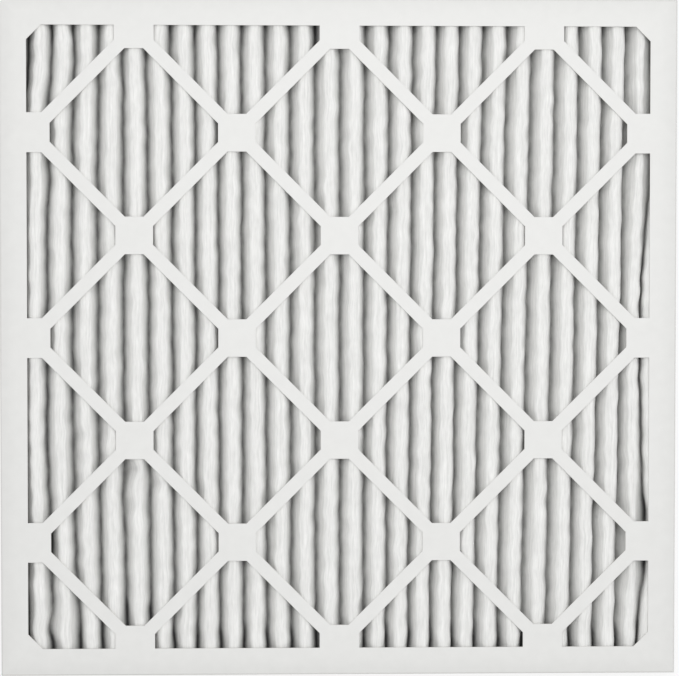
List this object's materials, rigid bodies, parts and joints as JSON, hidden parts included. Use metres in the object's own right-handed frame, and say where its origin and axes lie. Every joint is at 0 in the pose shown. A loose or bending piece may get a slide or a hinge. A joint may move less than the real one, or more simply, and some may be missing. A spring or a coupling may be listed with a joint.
{
  "type": "pleated panel air filter",
  "caption": "Square pleated panel air filter: pleated non-woven media on a welded wire grid, glued into a folded board frame whose faces are cut into a diagonal strap grid.",
  "frame": {"origin": "middle of the air-leaving face, on which the filter lies", "axes": "+Z is the outward normal of the air-entering face, the pleats run along Y, and X runs across the pleats"},
  "size_m": [0.4952, 0.4952, 0.0191],
  "materials": {
    "coated_board": "matte",
    "nonwoven_media": "fibrous",
    "galvanised_wire": "galvanised",
    "adhesive": "satin"
  },
  "bodies": {
    "root": {"front_frame": "coated_board", "back_frame": "coated_board", "filter_media": "nonwoven_media", "wire_backing": "galvanised_wire", "end_seal_top": "adhesive", "end_seal_bottom": "adhesive", "side_seal_left": "adhesive", "side_seal_right": "adhesive"}
  },
  "joints": []
}
